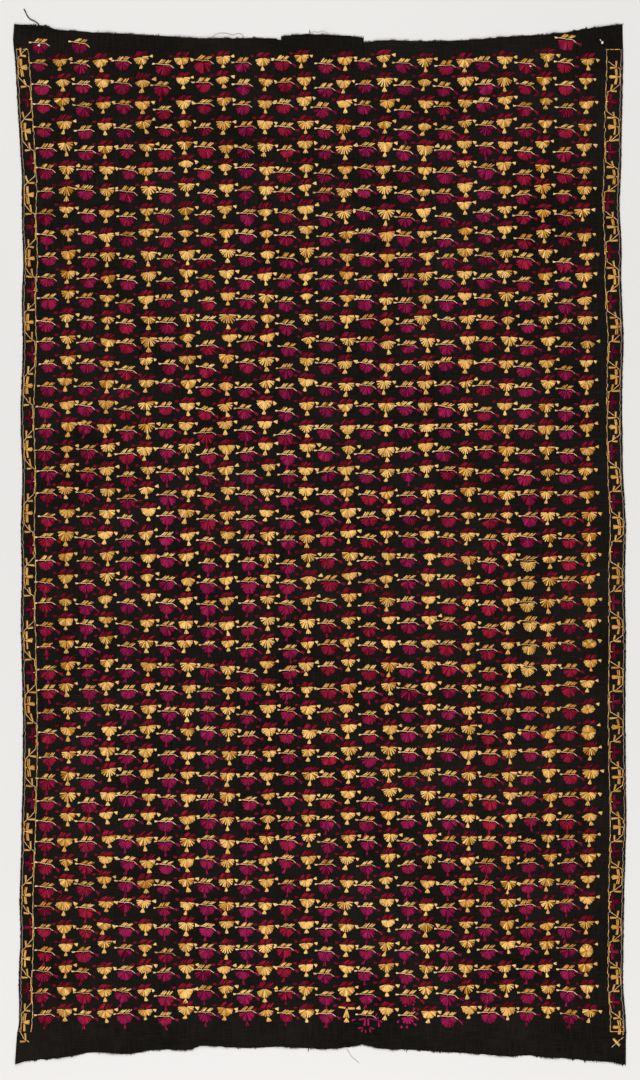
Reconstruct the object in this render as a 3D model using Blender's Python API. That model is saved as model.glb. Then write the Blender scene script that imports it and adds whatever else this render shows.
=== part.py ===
"""Phulkari shawl laid out flat: three handloom cotton panels joined side by side.

The frame is metres, +Z up, +Y towards the shawl's top end and +X towards its right edge.
The origin is on the surface that the shawl lies on, at the middle of the rectangle it covers.
Run with: blender --background --python part.py
"""
import random

import bpy

# Driving dimensions
SHAWL_LENGTH = 2.288      # between the furthest points of the two cut ends
SHAWL_WIDTH = 1.349       # between the furthest points of the two outer selvedges
CLOTH_THICKNESS = 0.0014  # coarse handspun cotton with silk floss darned through it
SEAM_GAP = 0.0003         # parting between two panels along their seam

# How finely the outline is followed
SIDE_STEP = 0.016         # along the outer selvedges
SEAM_STEP = 0.048         # along the seams, which run nearly straight
END_STEP = 0.006          # along the cut ends
RAGGED_DEPTH = 0.0009     # how far the cut ends wander in and out, thread by thread
RAGGED_SEED = 11

MM = 0.001

# Outer selvedges, in mm: "down" is the distance from the top end, "inset" the distance
# inside the rectangle that the shawl covers.
LEFT_SELVEDGE = (
    # down, inset
    (0, 3), (30, 0), (75, 5), (165, 10), (250, 15), (340, 20), (430, 20), (520, 23),
    (610, 20), (700, 22), (780, 20), (850, 17), (1000, 21), (1110, 18), (1215, 20),
    (1285, 18), (1420, 20), (1500, 22), (1650, 22), (1730, 20), (1840, 18), (1925, 15),
    (2010, 17), (2100, 13), (2190, 14), (2235, 8), (2288, 5),
)
RIGHT_SELVEDGE = (
    # down, inset
    (0, 8), (80, 7), (230, 10), (340, 12), (390, 15), (500, 10), (565, 11), (695, 6),
    (790, 9), (990, 7), (1100, 1), (1220, 3), (1360, 1), (1480, 2), (1650, 1), (1750, 0),
    (1890, 4), (2015, 6), (2110, 7), (2195, 1), (2288, 1),
)

# Seams, in mm: "down" as above, "across" is the seam's distance from the centre line.
LEFT_SEAM = (
    # down, across
    (0, -84), (1150, -81), (2288, -77),
)
RIGHT_SEAM = (
    # down, across
    (0, 97), (1150, 97), (2288, 98),
)

# Cut ends, in mm: "across" is the distance from the centre line, "inset" the distance inside
# the rectangle. Each panel is cut by itself, so the ends step where two panels meet.
TOP_END = {
    "left": ((-675, 0), (-636, 2), (-600, 4), (-580, 11), (-513, 17), (-407, 22),
             (-300, 29), (-266, 31), (-110, 31), (-84, 35)),
    "centre": ((-84, 27), (-55, 24), (-20, 22), (68, 26), (97, 29)),
    "right": ((97, 40), (139, 36), (244, 37), (315, 35), (370, 31), (420, 27), (526, 20),
              (579, 11), (631, 4), (675, 0)),
}
BOTTOM_END = {
    "left": ((-675, 0), (-636, 9), (-570, 15), (-515, 25), (-490, 28), (-425, 24), (-354, 33),
             (-284, 33), (-266, 41), (-161, 37), (-90, 40), (-79, 40)),
    "centre": ((-79, 39), (-37, 37), (15, 35), (68, 40), (98, 46)),
    "right": ((98, 44), (139, 35), (209, 33), (262, 29), (350, 24), (420, 18), (455, 21), (490, 17),
              (526, 15), (596, 9), (631, 7), (675, 0)),
}

# Black cotton, as the viewport shows it: linear colour, alpha, roughness
COTTON_BLACK = (0.0123, 0.0097, 0.0091, 1.0)
COTTON_ROUGHNESS = 0.92


def clear_scene():
    """Remove whatever objects the start-up file holds."""
    for obj in list(bpy.data.objects):
        bpy.data.objects.remove(obj, do_unlink=True)


def stations(first, last, step):
    """Places from first to last, both included, about one step apart."""
    count = max(1, round(abs(last - first) / step))
    return [first + (last - first) * i / count for i in range(count + 1)]


def table_value(table, at):
    """Value of a two-column mm table at a place in metres, on a smooth curve, in metres."""
    places = [row[0] * MM for row in table]
    values = [row[1] * MM for row in table]
    slopes = []
    for i in range(len(table)):
        before = max(i - 1, 0)
        after = min(i + 1, len(table) - 1)
        slopes.append((values[after] - values[before]) / (places[after] - places[before]))
    at = min(max(at, places[0]), places[-1])
    i = max(k for k in range(len(table) - 1) if places[k] <= at)
    span = places[i + 1] - places[i]
    t = (at - places[i]) / span
    return (
        (1 + 2 * t) * (1 - t) ** 2 * values[i]
        + t * (1 - t) ** 2 * span * slopes[i]
        + t ** 2 * (3 - 2 * t) * values[i + 1]
        + t ** 2 * (t - 1) * span * slopes[i + 1]
    )


def left_selvedge(down):
    """Across position of the shawl's left edge."""
    return -SHAWL_WIDTH / 2 + max(0.0, table_value(LEFT_SELVEDGE, down))


def right_selvedge(down):
    """Across position of the shawl's right edge."""
    return SHAWL_WIDTH / 2 - max(0.0, table_value(RIGHT_SELVEDGE, down))


def seam(table, side):
    """Edge of a panel at a seam; side is -1 for the panel left of it and 1 for the right."""
    return lambda down: table_value(table, down) + side * SEAM_GAP / 2


def end_points(table, left, right, way, thread):
    """Points of a cut end from its left corner to its right one; way is 1 for the top end."""
    points = []
    for across in stations(left, right, END_STEP):
        ragged = thread.uniform(-RAGGED_DEPTH, RAGGED_DEPTH)
        inset = max(0.0, table_value(table, across) + ragged)
        points.append((across, way * (SHAWL_LENGTH / 2 - inset)))
    return points


def side_points(edge, upper, lower, step):
    """Points strictly between two corners of a panel, from the upper down to the lower."""
    downs = [SHAWL_LENGTH / 2 - y for y in stations(upper, lower, step)[1:-1]]
    return [(edge(down), SHAWL_LENGTH / 2 - down) for down in downs]


def panel_outline(name, left_edge, right_edge, left_step, right_step, thread):
    """The panel's outline, anticlockwise from its bottom left corner, seen from above."""
    top = end_points(TOP_END[name], left_edge(0.0), right_edge(0.0), 1, thread)
    bottom = end_points(
        BOTTOM_END[name], left_edge(SHAWL_LENGTH), right_edge(SHAWL_LENGTH), -1, thread
    )
    right = side_points(right_edge, top[-1][1], bottom[-1][1], right_step)
    left = side_points(left_edge, top[0][1], bottom[0][1], left_step)
    return bottom + right[::-1] + top[::-1] + left


def cotton_material(name):
    """Plain black cotton for one panel."""
    material = bpy.data.materials.new(name)
    material.use_nodes = True
    shader = material.node_tree.nodes["Principled BSDF"]
    shader.inputs["Base Color"].default_value = COTTON_BLACK
    shader.inputs["Roughness"].default_value = COTTON_ROUGHNESS
    shader.inputs["Metallic"].default_value = 0.0
    material.diffuse_color = COTTON_BLACK
    return material


def add_panel(name, outline, collection):
    """A flat sheet of cloth: a filled 2D curve, thickened about its middle, resting on z = 0."""
    curve = bpy.data.curves.new(name, "CURVE")
    curve.dimensions = "2D"
    curve.fill_mode = "BOTH"
    curve.extrude = CLOTH_THICKNESS / 2
    spline = curve.splines.new("POLY")
    spline.points.add(len(outline) - 1)
    for point, (x, y) in zip(spline.points, outline):
        point.co = (x, y, 0.0, 1.0)
    spline.use_cyclic_u = True
    curve.materials.append(cotton_material(name + "_cotton"))
    panel = bpy.data.objects.new(name, curve)
    panel.location.z = CLOTH_THICKNESS / 2
    collection.objects.link(panel)
    return panel


def build_shawl():
    """Cut the three panels and lay them side by side."""
    clear_scene()
    collection = bpy.data.collections.new("phulkari_shawl")
    bpy.context.scene.collection.children.link(collection)
    thread = random.Random(RAGGED_SEED)
    cuts = (
        # panel, left edge, right edge, left step, right step
        ("left", left_selvedge, seam(LEFT_SEAM, -1), SIDE_STEP, SEAM_STEP),
        ("centre", seam(LEFT_SEAM, 1), seam(RIGHT_SEAM, -1), SEAM_STEP, SEAM_STEP),
        ("right", seam(RIGHT_SEAM, 1), right_selvedge, SEAM_STEP, SIDE_STEP),
    )
    for name, left_edge, right_edge, left_step, right_step in cuts:
        outline = panel_outline(name, left_edge, right_edge, left_step, right_step, thread)
        add_panel("panel_" + name, outline, collection)


if __name__ == "__main__":
    build_shawl()
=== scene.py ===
"""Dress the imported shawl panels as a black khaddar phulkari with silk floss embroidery."""
import functools
import math
import random

import bmesh
import bpy
import numpy as np
from mathutils import Matrix, Vector


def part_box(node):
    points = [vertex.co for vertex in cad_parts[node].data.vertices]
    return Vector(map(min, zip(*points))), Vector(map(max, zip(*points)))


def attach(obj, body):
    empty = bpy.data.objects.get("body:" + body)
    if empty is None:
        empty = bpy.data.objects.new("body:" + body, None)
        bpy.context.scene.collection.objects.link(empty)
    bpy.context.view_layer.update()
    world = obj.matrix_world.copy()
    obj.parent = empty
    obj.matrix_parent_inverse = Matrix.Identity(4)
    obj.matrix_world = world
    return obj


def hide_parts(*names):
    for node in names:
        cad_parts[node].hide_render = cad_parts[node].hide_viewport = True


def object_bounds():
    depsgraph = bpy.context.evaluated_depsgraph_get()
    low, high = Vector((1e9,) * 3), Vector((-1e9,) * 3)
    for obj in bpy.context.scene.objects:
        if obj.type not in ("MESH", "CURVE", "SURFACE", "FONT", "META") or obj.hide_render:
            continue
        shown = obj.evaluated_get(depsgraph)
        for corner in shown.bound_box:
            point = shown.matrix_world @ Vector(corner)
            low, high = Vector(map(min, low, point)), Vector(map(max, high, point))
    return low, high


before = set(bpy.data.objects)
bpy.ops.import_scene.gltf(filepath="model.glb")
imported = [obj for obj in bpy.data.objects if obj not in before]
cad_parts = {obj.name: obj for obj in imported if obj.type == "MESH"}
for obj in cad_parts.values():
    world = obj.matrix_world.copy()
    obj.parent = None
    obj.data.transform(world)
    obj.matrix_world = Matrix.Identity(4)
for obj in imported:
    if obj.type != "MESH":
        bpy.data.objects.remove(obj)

CAD_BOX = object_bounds()

bl_info = {
    "name": "Phulkari shawl",
    "version": (1, 0, 0),
    "blender": (4, 5, 0),
    "location": "View3D > Sidebar > Shawl",
    "description": "Handloom cotton panels, seams, silk floss darning and frayed ends",
    "category": "Object",
}

MM = 0.001
ROOT = "root"
PANELS = ("panel_left", "panel_centre", "panel_right")
TOP_Y = CAD_BOX[1].y

# ---------------------------------------------------------------------------------------
# Where the panels' sides run, read from the frame
# ---------------------------------------------------------------------------------------

SELVEDGE_STRIDE = 20 * MM   # the solids follow a selvedge more closely than this
SEAM_STRIDE = 60 * MM
END_STRIDE = 8 * MM
SIDE_REACH = 70 * MM        # no side strays further than this from its outermost place
SIDE_JUMP = 12 * MM         # a longer step at an end belongs to the side round the corner


def panel_side(node, axis, way, stride):
    """One side of a panel's solid: places along it and where it runs, for np.interp."""
    points = np.array([v.co[:2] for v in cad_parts[node].data.vertices])
    points = points[way * points[:, axis] > (way * points[:, axis]).max() - SIDE_REACH]
    places = points[:, 1 - axis]
    values = points[:, axis]
    bins = np.round(places / stride)
    outermost = [
        np.flatnonzero(bins == b)[np.argmax(way * values[bins == b])] for b in np.unique(bins)
    ]
    order = sorted(outermost, key=lambda i: places[i])
    while abs(values[order[0]] - values[order[1]]) > SIDE_JUMP:
        order.pop(0)
    while abs(values[order[-1]] - values[order[-2]]) > SIDE_JUMP:
        order.pop()
    return places[order], values[order]


SIDES = {
    node: {
        "left": panel_side(node, 0, -1, SELVEDGE_STRIDE if node == PANELS[0] else SEAM_STRIDE),
        "right": panel_side(node, 0, 1, SELVEDGE_STRIDE if node == PANELS[2] else SEAM_STRIDE),
        "top": panel_side(node, 1, 1, END_STRIDE),
        "bottom": panel_side(node, 1, -1, END_STRIDE),
    }
    for node in PANELS
}


def along_side(node, side, place):
    """Where a panel's side runs at a place, or at an array of places."""
    return np.interp(place, *SIDES[node][side])


def left_edge(y):
    """The shawl's left selvedge."""
    return along_side(PANELS[0], "left", y)


def right_edge(y):
    """The shawl's right selvedge."""
    return along_side(PANELS[2], "right", y)


def end_edge(side, x):
    """The shawl's top or bottom cut end, panel by panel."""
    x = np.asarray(x, dtype=float)
    first, middle, last = (along_side(node, side, x) for node in PANELS)
    seams = [SIDES[PANELS[1]][s][1].mean() for s in ("left", "right")]
    return np.where(x < seams[0], first, np.where(x > seams[1], last, middle))


# ---------------------------------------------------------------------------------------
# How the cloth lies
# ---------------------------------------------------------------------------------------

CLOTH_THICKNESS = 0.85 * MM   # coarse handspun cotton, plain weave
FACE_HEIGHT = 1.3 * MM        # face of the cloth above the table, where it lies closest
SWELL = 0.5 * MM              # long low swells of cloth that was once folded
EDGE_LIFT = 1.3 * MM          # cockled selvedges, drawn in by the border's stitches
END_LIFT = 1.8 * MM           # cut ends curl a little
EDGE_REACH = 14 * MM
END_REACH = 18 * MM
SEAM_RIDGE = 0.5 * MM         # the two selvedges of a seam stand up beside its groove
SEAM_REACH = 5 * MM
SEAM_GROOVE = 1.6 * MM


def cloth_face(x, y):
    """Height of the cloth's face at points of the shawl, in metres; x and y are arrays."""
    side = np.minimum(x - left_edge(y), right_edge(y) - x)
    end = np.minimum(end_edge("top", x) - y, y - end_edge("bottom", x))
    seam = np.minimum(
        np.abs(x - along_side(PANELS[1], "left", y)), np.abs(x - along_side(PANELS[1], "right", y))
    )
    swell = 0.5 + 0.25 * np.sin(x / 0.083 + 1.7 * np.sin(y / 0.29))
    swell += 0.25 * np.sin(y / 0.117 + 1.1 * np.sin(x / 0.21))
    cockle = 0.5 + 0.5 * np.sin(y / 0.019 + 2.0 * np.sin(y / 0.13))
    curl = 0.55 + 0.45 * np.sin(x / 0.024 + 2.0 * np.sin(x / 0.09))
    ridge = np.exp(-(seam / SEAM_REACH) ** 2) - 1.3 * np.exp(-(seam / SEAM_GROOVE) ** 2)
    return (
        FACE_HEIGHT
        + SWELL * swell
        + EDGE_LIFT * cockle * np.exp(-(side / EDGE_REACH) ** 2)
        + END_LIFT * curl * np.exp(-(end / END_REACH) ** 2)
        + SEAM_RIDGE * ridge
    )


# ---------------------------------------------------------------------------------------
# Colours and sizes that a user would change
# ---------------------------------------------------------------------------------------


def linear(hex_colour):
    """Linear colour, with alpha, of an sRGB hex value."""
    channels = [int(hex_colour[i:i + 2], 16) / 255 for i in (1, 3, 5)]
    return tuple(
        c / 12.92 if c <= 0.04045 else ((c + 0.055) / 1.055) ** 2.4 for c in channels
    ) + (1.0,)


def colour_property(name, description, hex_colour):
    """A colour picker whose default is an sRGB hex value."""
    return bpy.props.FloatVectorProperty(
        name=name, description=description, subtype="COLOR", size=4,
        min=0.0, max=1.0, default=linear(hex_colour),
    )


def length_property(name, description, millimetres):
    """A length, given in millimetres and kept in metres."""
    return bpy.props.FloatProperty(
        name=name, description=description, default=millimetres * MM,
        min=0.0, unit="LENGTH", precision=5,
    )


class ShawlColours(bpy.types.PropertyGroup):
    """Colours of the cloth, the floss and the stage."""

    cotton_deep: colour_property("Cotton, deep", "Black cotton between its threads", "#100E0C")
    cotton_worn: colour_property("Cotton, worn", "Black cotton on its worn slubs", "#221F1C")
    gold_deep: colour_property("Gold, deep", "Old gold floss where it is shaded", "#AA6E12")
    gold_light: colour_property("Gold, light", "Old gold floss where it shines", "#FFD17C")
    gold_lot: colour_property("Gold, second lot", "Gold floss of a more orange dyeing", "#EDA349")
    magenta_deep: colour_property("Magenta, deep", "Magenta floss where it is shaded", "#3E0012")
    magenta_light: colour_property("Magenta, light", "Magenta floss where it shines", "#AC225C")
    magenta_lot: colour_property("Magenta, second lot", "Floss of a redder dyeing", "#B42340")
    red_deep: colour_property("Dark red, deep", "Dark red floss where it is shaded", "#380A12")
    red_light: colour_property("Dark red, light", "Dark red floss where it shines", "#8C1230")
    red_lot: colour_property("Dark red, second lot", "Floss of a brighter dyeing", "#B0203E")
    # The deep cream is soiled floss and also the painted shade on the sides of each stitch; the light
    # cream is clean floss and also its painted sheen.
    cream_deep: colour_property("Cream, deep", "Undyed floss, soiled", "#A87848")
    cream_light: colour_property("Cream, light", "Undyed floss, clean", "#FFD9A0")
    dull_deep: colour_property("Border line, deep", "Faded brown-mauve floss, shaded", "#5F4A3C")
    dull_light: colour_property("Border line, light", "Faded brown-mauve floss, lit", "#B59A83")
    lint_deep: colour_property("White tuft, deep", "Cotton tuft where it is soiled", "#B9B7BA")
    lint: colour_property("White tuft", "White cotton tufts left in the cloth", "#F1EFEA")
    floor: colour_property("Floor", "Plain pale floor", "#DCDAD8")


class ShawlSizes(bpy.types.PropertyGroup):
    """Sizes of the stitches and motifs."""

    gold_half_width: length_property("Gold cup", "Half the width of a gold cup", 17.0)
    gold_depth: length_property("Gold cup depth", "Height of a gold cup", 18.0)
    magenta_half_width: length_property("Magenta cup", "Half the width of a magenta cup", 16.9)
    magenta_depth: length_property("Magenta cup depth", "Height of a magenta cup", 18.8)
    floss_height: length_property("Floss height", "How far a stitch stands off the cloth", 0.9)
    whip_spacing: length_property("Whip stitch spacing", "Between stitches of a seam", 6.5)
    fray_spacing: length_property("Fray spacing", "Between loose warp ends", 1.5)


def colours():
    """The scene's colours."""
    return bpy.context.scene.shawl_colours


def sizes():
    """The scene's sizes."""
    return bpy.context.scene.shawl_sizes


# ---------------------------------------------------------------------------------------
# Materials
# ---------------------------------------------------------------------------------------


def add_node(tree, kind, settings=None, inputs=None, links=None):
    """Add a node, set its properties and its sockets' values, and link sockets to it."""
    node = tree.nodes.new(kind)
    for key, value in (settings or {}).items():
        setattr(node, key, value)
    for key, value in (inputs or {}).items():
        node.inputs[key].default_value = value
    for key, source in (links or {}).items():
        tree.links.new(source, node.inputs[key])
    return node


def new_material(name, roughness, specular=0.0, ior=1.5):
    """A material with a Principled shader; returns the material, its tree and its shader."""
    material = bpy.data.materials.new(name)
    material.use_nodes = True
    shader = material.node_tree.nodes["Principled BSDF"]
    shader.inputs["Roughness"].default_value = roughness
    shader.inputs["Specular IOR Level"].default_value = specular
    shader.inputs["IOR"].default_value = ior
    return material, material.node_tree, shader


def cotton_khaddar():
    """Handspun, handwoven cotton dyed black: dull, with uneven slubs along warp and weft.

    Its threads lie about 0.9 mm apart. That is finer than the whole shawl can show, so the
    slubs are drawn 2 to 4 mm wide as well, and both are in the bump.
    """
    material, tree, shader = new_material("cotton_khaddar_black", 0.95)
    place = add_node(tree, "ShaderNodeTexCoord").outputs["Object"]
    slubs = []
    for scale in ((22, 420, 1), (420, 22, 1)):   # per metre: 45 mm long, 2.4 mm wide
        turned = add_node(
            tree, "ShaderNodeMapping", inputs={"Scale": scale}, links={"Vector": place}
        )
        slubs.append(add_node(
            tree, "ShaderNodeTexNoise", inputs={"Scale": 1.0, "Detail": 3.0, "Roughness": 0.6},
            links={"Vector": turned.outputs["Vector"]},
        ).outputs["Fac"])
    slub = add_node(
        tree, "ShaderNodeMath", {"operation": "MAXIMUM"}, links={0: slubs[0], 1: slubs[1]}
    ).outputs["Value"]
    stains = add_node(
        tree, "ShaderNodeTexNoise", inputs={"Scale": 5.0, "Detail": 4.0}, links={"Vector": place}
    ).outputs["Fac"]
    worn = add_node(
        tree, "ShaderNodeMath", {"operation": "MULTIPLY_ADD"},
        inputs={1: 0.45}, links={0: stains, 2: slub},
    ).outputs["Value"]
    share = add_node(
        tree, "ShaderNodeMapRange",
        inputs={"From Min": 0.62, "From Max": 1.05}, links={"Value": worn},
    ).outputs["Result"]
    colour = add_node(
        tree, "ShaderNodeMix", {"data_type": "RGBA"},
        inputs={6: colours().cotton_deep, 7: colours().cotton_worn}, links={0: share},
    )
    tree.links.new(colour.outputs[2], shader.inputs["Base Color"])
    threads = []
    for direction in ("X", "Y"):   # one thread each 0.9 mm
        threads.append(add_node(
            tree, "ShaderNodeTexWave", {"bands_direction": direction},
            inputs={"Scale": 350.0, "Distortion": 1.5, "Detail": 1.0}, links={"Vector": place},
        ).outputs["Fac"])
    weave = add_node(
        tree, "ShaderNodeMath", {"operation": "MULTIPLY"}, links={0: threads[0], 1: threads[1]}
    ).outputs["Value"]
    relief = add_node(
        tree, "ShaderNodeMath", {"operation": "MULTIPLY_ADD"},
        inputs={1: 1.6}, links={0: slub, 2: weave},
    ).outputs["Value"]
    bump = add_node(
        tree, "ShaderNodeBump", inputs={"Strength": 0.6, "Distance": 0.15 * MM},
        links={"Height": relief},
    )
    tree.links.new(bump.outputs["Normal"], shader.inputs["Normal"])
    return material


def silk_floss(name, floss, lustre=0.02):
    """Untwisted silk floss (pat): flat bundles of filaments with a soft lustre.

    The tone attribute says how deep each stitch is dyed and worn, and also holds a painted sheen:
    some stitches are painted lighter or darker, as if they caught more or less light. The lot
    attribute says how far it is of the second dyeing. The floss UV map, in millimetres along and
    across the stitch, draws its filaments about 0.3 mm apart. Patches 2 mm wide are painted lighter
    or darker: partly worn and overlapping stitches, partly a painted sheen where they catch the
    light. The crown attribute, 1 along the top of a stitch and 0 where it meets the cloth, gives its
    sides a painted shade, for they lie in the shade of its neighbours.
    """
    deep = getattr(colours(), floss + "_deep")
    light = getattr(colours(), floss + "_light")
    second = getattr(colours(), floss + "_lot", light)
    material, tree, shader = new_material(name, 0.5, lustre, 1.54)
    tone = add_node(tree, "ShaderNodeAttribute", {"attribute_name": "tone"}).outputs["Fac"]
    dyed = add_node(tree, "ShaderNodeAttribute", {"attribute_name": "lot"}).outputs["Fac"]
    uv = add_node(tree, "ShaderNodeUVMap", {"uv_map": "floss"}).outputs["UV"]
    drawn = add_node(
        tree, "ShaderNodeMapping", inputs={"Scale": (0.12, 3.2, 1.0)}, links={"Vector": uv}
    ).outputs["Vector"]
    filaments = add_node(
        tree, "ShaderNodeTexNoise", inputs={"Scale": 1.0, "Detail": 2.0}, links={"Vector": drawn}
    ).outputs["Fac"]
    place = add_node(tree, "ShaderNodeTexCoord").outputs["Object"]
    patches = add_node(
        tree, "ShaderNodeTexNoise", inputs={"Scale": 420.0, "Detail": 1.0},
        links={"Vector": place},
    ).outputs["Fac"]
    # patches 2 mm wide painted lighter or darker: partly wear, partly painted sheen
    worn = add_node(
        tree, "ShaderNodeMath", {"operation": "MULTIPLY_ADD"},
        inputs={1: 0.9, 2: -0.45}, links={0: patches},
    ).outputs["Value"]
    crown = add_node(tree, "ShaderNodeAttribute", {"attribute_name": "crown"}).outputs["Fac"]
    shade = add_node(
        tree, "ShaderNodeMapRange", inputs={"From Max": 0.5, "To Min": -0.6, "To Max": 0.0},
        links={"Value": crown},
    ).outputs["Result"]
    lit = add_node(
        tree, "ShaderNodeMath", {"operation": "ADD"}, links={0: shade, 1: tone}
    ).outputs["Value"]
    toned = add_node(
        tree, "ShaderNodeMath", {"operation": "ADD"}, links={0: worn, 1: lit}
    ).outputs["Value"]
    share = add_node(
        tree, "ShaderNodeMath", {"operation": "MULTIPLY_ADD", "use_clamp": True},
        inputs={1: 0.8}, links={0: filaments, 2: toned},
    ).outputs["Value"]
    shining = add_node(
        tree, "ShaderNodeMix", {"data_type": "RGBA"}, inputs={6: light, 7: second},
        links={0: dyed},
    ).outputs[2]
    colour = add_node(
        tree, "ShaderNodeMix", {"data_type": "RGBA"}, inputs={6: deep},
        links={0: share, 7: shining},
    )
    tree.links.new(colour.outputs[2], shader.inputs["Base Color"])
    bump = add_node(
        tree, "ShaderNodeBump", inputs={"Strength": 0.5, "Distance": 0.1 * MM},
        links={"Height": filaments},
    )
    tree.links.new(bump.outputs["Normal"], shader.inputs["Normal"])
    return material


def cotton_thread(name, deep, light):
    """Spun cotton thread: matt, with a fuzzy, unevenly dyed surface."""
    material, tree, shader = new_material(name, 0.95)
    place = add_node(tree, "ShaderNodeTexCoord").outputs["Object"]
    fuzz = add_node(
        tree, "ShaderNodeTexNoise", inputs={"Scale": 900.0, "Detail": 2.0}, links={"Vector": place}
    ).outputs["Fac"]
    colour = add_node(
        tree, "ShaderNodeMix", {"data_type": "RGBA"}, inputs={6: deep, 7: light}, links={0: fuzz}
    )
    tree.links.new(colour.outputs[2], shader.inputs["Base Color"])
    return material


def floor_paper(name):
    """Seamless backdrop paper, matt and pale."""
    material, _, shader = new_material(name, 0.95)
    shader.inputs["Base Color"].default_value = colours().floor
    return material


# ---------------------------------------------------------------------------------------
# Stitches: one small shape, repeated as joined meshes
# ---------------------------------------------------------------------------------------

FLOSS_WAISTS = (0.10, 0.95)   # a stitch is full between these shares of its length
BITE = 0.15   # share of a stitch's height that lies below the face of the cloth


def stitch_shape(waists, tapered):
    """Points and faces of a stitch 1 long (X), 1 wide (Y) and 1 high (Z), lying on its flat side.

    A three-sided bar is cut at the waists; where it is tapered, each end closes to a point.
    """
    bm = bmesh.new()
    bmesh.ops.create_cone(
        bm, cap_ends=not tapered, segments=3, radius1=0.5, radius2=0.5, depth=1.0
    )
    bmesh.ops.rotate(bm, verts=bm.verts, matrix=Matrix.Rotation(math.pi / 2, 3, "Y"))
    bmesh.ops.translate(bm, verts=bm.verts, vec=(0.5, 0.0, 0.0))
    for waist in waists:
        bmesh.ops.bisect_plane(
            bm, geom=bm.verts[:] + bm.edges[:] + bm.faces[:],
            plane_co=(waist, 0, 0), plane_no=(1, 0, 0),
        )
    if tapered:
        for end in (0.0, 1.0):
            tip = [v for v in bm.verts if abs(v.co.x - end) < 1e-4]
            low = min(v.co.z for v in bm.verts)
            bmesh.ops.pointmerge(bm, verts=tip, merge_co=(end, 0.0, low))
    bmesh.ops.recalc_face_normals(bm, faces=bm.faces)
    points = np.array([v.co for v in bm.verts])
    faces = [[v.index for v in f.verts] for f in bm.faces]
    bm.free()
    points[:, 1] /= np.ptp(points[:, 1])
    points[:, 2] = (points[:, 2] - points[:, 2].min()) / np.ptp(points[:, 2])
    return points, faces


class Skein:
    """Stitches of one thread, gathered before they become one mesh."""

    def __init__(self, seed, lot_wander=0.0):
        self.rows = []
        self.lot = 0.0
        self.lot_wander = lot_wander
        self.draw = random.Random(seed)

    def stitch(self, start, end, width, width_end=None, tone=0.5, height=1.0, lift=0.0):
        """Lay a stitch from start to end; widths and points are in metres."""
        wide = width if width_end is None else width_end
        lot = self.lot + self.draw.gauss(0, self.lot_wander)
        self.rows.append((*start, *end, width, wide, height, tone, lift, lot))

    def piece(self, name, material, shape, under=False):
        """Make one mesh of the stitches; under puts them on the back of the cloth."""
        points, faces = shape
        rows = np.array(self.rows)
        start, end, width, width_end, height, tone, lift, lot = np.split(
            rows, (2, 4, 5, 6, 7, 8, 9), axis=1
        )
        run = end - start
        length = np.maximum(np.linalg.norm(run, axis=1, keepdims=True), 1e-6)
        aside = np.stack((-run[:, 1], run[:, 0]), axis=1) / length
        u, v, w = points.T
        across = v * (width * (1 - u) + width_end * u)
        flat = start[:, None] + u[:, None] * run[:, None] + across[..., None] * aside[:, None]
        face = cloth_face(flat[..., 0], flat[..., 1])
        rise = (w * (1 + BITE) - BITE) * height * sizes().floss_height
        z = face - CLOTH_THICKNESS - rise if under else face + rise + lift
        places = np.concatenate((flat, z[..., None]), axis=2).reshape(-1, 3)
        rings = [f[::-1] if under else f for f in faces]
        first = (len(points) * np.arange(len(rows))).tolist()
        mesh = bpy.data.meshes.new(name)
        mesh.from_pydata(places.tolist(), [], [[i + n for i in f] for n in first for f in rings])
        crown = np.tile(w, (len(rows), 1))
        for label, values in (("tone", tone), ("lot", lot), ("crown", crown)):
            layer = mesh.attributes.new(label, "FLOAT", "POINT")
            spread = np.broadcast_to(values, crown.shape)
            layer.data.foreach_set("value", spread.ravel().astype(np.float32))
        corners = np.empty(len(mesh.loops), dtype=np.int32)
        mesh.loops.foreach_get("vertex_index", corners)
        shift = np.arange(len(rows))[:, None] * 7.3 % 97   # so that no two look the same
        drawn = np.stack((u * length / MM + shift, across / MM + shift), axis=2).reshape(-1, 2)
        layer = mesh.uv_layers.new(name="floss")
        layer.data.foreach_set("uv", drawn[corners].ravel().astype(np.float32))
        mesh.shade_smooth()
        mesh.materials.append(material)
        mesh.update()
        return add_piece(name, mesh)


def smooth_mesh(name, bm, material):
    """Turn a bmesh into a smooth mesh of one material."""
    mesh = bpy.data.meshes.new(name)
    bm.to_mesh(mesh)
    bm.free()
    mesh.shade_smooth()
    mesh.materials.append(material)
    return mesh


def add_piece(name, mesh):
    """Put a finished mesh in the scene, as a piece that rides with the shawl."""
    piece = bpy.data.objects.new(name, mesh)
    bpy.context.scene.collection.objects.link(piece)
    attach(piece, ROOT)
    return piece


# ---------------------------------------------------------------------------------------
# The chart: where the motifs of the field stand
# ---------------------------------------------------------------------------------------

# Columns of magenta and gold cups in turn, evenly spaced between the borders, and rows evenly
# spaced between the cut ends. All sizes in mm.
COLUMNS = 14            # of each kind; the first column is magenta and the last one gold
ROWS = 45
FIRST_COLUMN = 55       # in from the left selvedge
LAST_COLUMN = 80        # in from the right selvedge
FIRST_ROW = 80          # down from the top of the shawl
LAST_ROW = 115          # up from its bottom
MAGENTA_LOWER = 0.35    # of the pitch of the rows
LONGER_COLUMNS = (0, 1, 13)   # magenta columns with one cup more, at the top
SLIP = 4                # how far the rows of a column slip up and down, slowly
HANK = (11, 3)          # cups that one hank of floss lasts for, and their spread
LOTS = (0.0, 0.4, 0.9)  # dye lots of the magenta floss, from bluer to redder
STEMS = ((6, 250), (13, -600))   # up to this column, cups below this height have stems
STEM_CHANCES = (0.9, 0.06)       # below that height and above it
BUDLESS = (5, 450)      # the sprigs of columns up to this one seldom have a bud above this height
BUD_CHANCE = 0.08       # there
SECOND_LOT_CHANCE = 0.12   # that a gold cup's floss is of the second lot
SLIP_ROWS = 7           # rows in which the slip turns by one radian


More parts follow.
